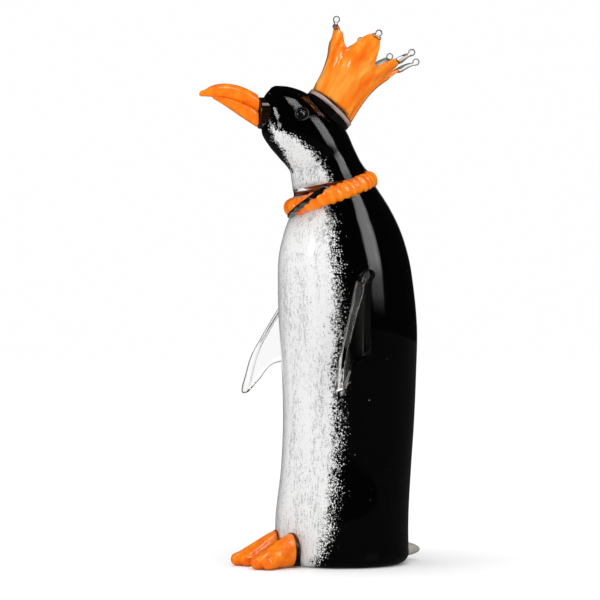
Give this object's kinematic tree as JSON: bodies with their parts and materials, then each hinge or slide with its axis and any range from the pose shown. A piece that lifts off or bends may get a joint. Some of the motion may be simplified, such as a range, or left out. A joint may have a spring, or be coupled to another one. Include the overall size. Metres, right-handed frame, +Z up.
{
  "type": "penguin figurine",
  "caption": "Standing penguin ornament in clear, black, white and orange glass, looking up, with a flared crown, a ribbed collar, flippers, feet and tail, on a flat ground base.",
  "frame": {"origin": "centre of the flat ground base", "axes": "+Z up, -Y towards the penguin's front, +X towards the penguin's left"},
  "size_m": [0.1282, 0.1378, 0.327],
  "materials": {
    "black_glass": "opaque black glass, fire polished",
    "white_frit": "opaque white crushed glass, melted in",
    "orange_glass": "opaque orange glass, fire polished",
    "clear_glass": "clear colourless glass, fire polished"
  },
  "bodies": {
    "root": {"torso_core": "black_glass", "belly_frit": "white_frit", "torso_casing": "clear_glass", "neck_joint": "clear_glass", "head_core": "black_glass", "throat_frit": "white_frit", "head_casing": "clear_glass", "eye_left": "black_glass", "eye_right": "black_glass", "bill_joint": "clear_glass", "upper_bill": "orange_glass", "lower_bill": "orange_glass", "collar": "orange_glass", "collar_thread": "black_glass", "crown_joint": "clear_glass", "crown_cup": "orange_glass", "crown_tips": "clear_glass", "flipper_left": "clear_glass", "flipper_right": "clear_glass", "foot_joint_left": "black_glass", "foot_joint_right": "black_glass", "foot_left": "orange_glass", "foot_right": "orange_glass", "tail_joint": "black_glass", "tail": "clear_glass"}
  },
  "joints": []
}
